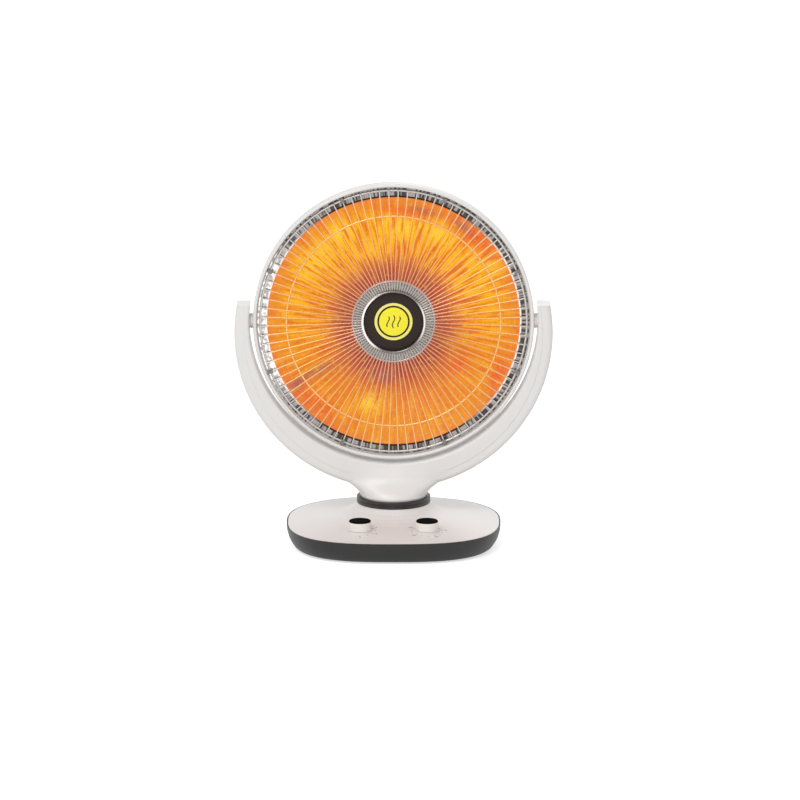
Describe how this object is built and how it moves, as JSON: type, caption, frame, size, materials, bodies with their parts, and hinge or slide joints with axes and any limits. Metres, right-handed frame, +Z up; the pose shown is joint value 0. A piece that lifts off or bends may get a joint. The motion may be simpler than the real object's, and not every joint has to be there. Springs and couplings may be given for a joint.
{
  "type": "parabolic heater",
  "caption": "Round dish heater with a radial wire guard, held in a crescent yoke that tilts and swivels on a rounded base with two dials.",
  "frame": {"origin": "on the floor, under the middle of the base", "axes": "+X to the right as seen from the front, +Y to the back, +Z up; the dish faces -Y"},
  "size_m": [0.36, 0.23, 0.4138],
  "materials": {
    "pan_charcoal": "fine moulded texture",
    "cover_warm_white": "smooth, faint pink cast",
    "shell_white": "satin moulded plastic",
    "foot_rubber": "matt",
    "screw_steel": "zinc plated",
    "ballast_iron": "as cast",
    "motor_steel": "plated can",
    "switch_black": "moulded",
    "terminal_white": "moulded",
    "tip_switch_red": "moulded",
    "bearing_acetal": "natural acetal",
    "ring_black": "smooth black",
    "knob_white": "satin",
    "knob_cap_black": "satin black",
    "dish_bright": "polished, lit orange by the element",
    "porcelain": "glazed ceramic",
    "coil_glowing": "glowing resistance wire",
    "nut_brass": "turned",
    "guard_chrome": "bright plated wire",
    "hub_plate_grey": "plated sheet",
    "hub_brown": "dark brown, satin",
    "badge_yellow": "printed"
  },
  "bodies": {
    "base": {"base_pan": "pan_charcoal", "base_cover": "cover_warm_white", "rubber_feet": "foot_rubber", "base_screws": "screw_steel", "ballast_weights": "ballast_iron", "cord_grommet": "foot_rubber", "terminal_block": "terminal_white", "oscillation_motor": "motor_steel", "motor_screws": "screw_steel", "tip_switch": "tip_switch_red", "power_switch": "switch_black", "timer_unit": "motor_steel", "swivel_bush": "bearing_acetal", "thrust_washer": "screw_steel", "neck_ring": "ring_black"},
    "plunger": {"tip_plunger": "switch_black"},
    "pinion": {"drive_pinion": "bearing_acetal"},
    "power_dial": {"power_shaft": "screw_steel", "power_knob": "knob_white", "power_knob_cap": "knob_cap_black"},
    "timer_dial": {"timer_shaft": "screw_steel", "timer_knob": "knob_white", "timer_knob_cap": "knob_cap_black"},
    "yoke": {"swivel_spindle": "screw_steel", "spindle_screws": "screw_steel", "swing_gear": "bearing_acetal", "gear_collar": "screw_steel", "yoke_front": "shell_white", "yoke_rear": "shell_white", "yoke_screws": "screw_steel", "pivot_pins": "screw_steel", "pivot_washers": "ring_black"},
    "head": {"head_housing": "shell_white", "rear_cover": "shell_white", "rear_screws": "screw_steel", "reflector": "dish_bright", "socket_bracket": "screw_steel", "bracket_screws": "screw_steel", "element_socket": "porcelain", "ceramic_core": "porcelain", "heating_coil": "coil_glowing", "element_nut": "nut_brass", "thermal_cutout": "switch_black", "front_grille": "guard_chrome", "grille_clips": "guard_chrome", "hub_plate": "hub_plate_grey", "hub_bezel": "guard_chrome", "hub_cap": "hub_brown", "hub_badge": "badge_yellow"}
  },
  "joints": [
    {"name": "oscillation", "type": "hinge", "parent": "base", "child": "yoke", "pos_m": [0, 0.009, 0], "axis": [0, 0, 1], "range_deg": [-35, 35]},
    {"name": "head_tilt", "type": "hinge", "parent": "yoke", "child": "head", "pos_m": [0, 0.009, 0.25505], "axis": [1, 0, 0], "range_deg": [-30, 12]},
    {"name": "power_dial_turn", "type": "hinge", "parent": "base", "child": "power_dial", "pos_m": [-0.03775, -0.071, 0], "axis": [0, 0, 1], "range_deg": [-180, 0]},
    {"name": "timer_dial_turn", "type": "hinge", "parent": "base", "child": "timer_dial", "pos_m": [0.03775, -0.071, 0], "axis": [0, 0, 1], "range_deg": [-300, 0]},
    {"name": "tip_plunger_slide", "type": "slide", "parent": "base", "child": "plunger", "axis": [0, 0, 1], "range_m": [-0.004, 0], "stiffness_N_per_m": 60, "springref_m": -0.004},
    {"name": "pinion_spin", "type": "hinge", "parent": "base", "child": "pinion", "pos_m": [0, 0.048, 0], "axis": [0, 0, 1], "range_deg": [-118, 118]}
  ],
  "couplings": [
    {"joint": "pinion_spin", "follows": "oscillation", "ratio": -3.3333}
  ]
}
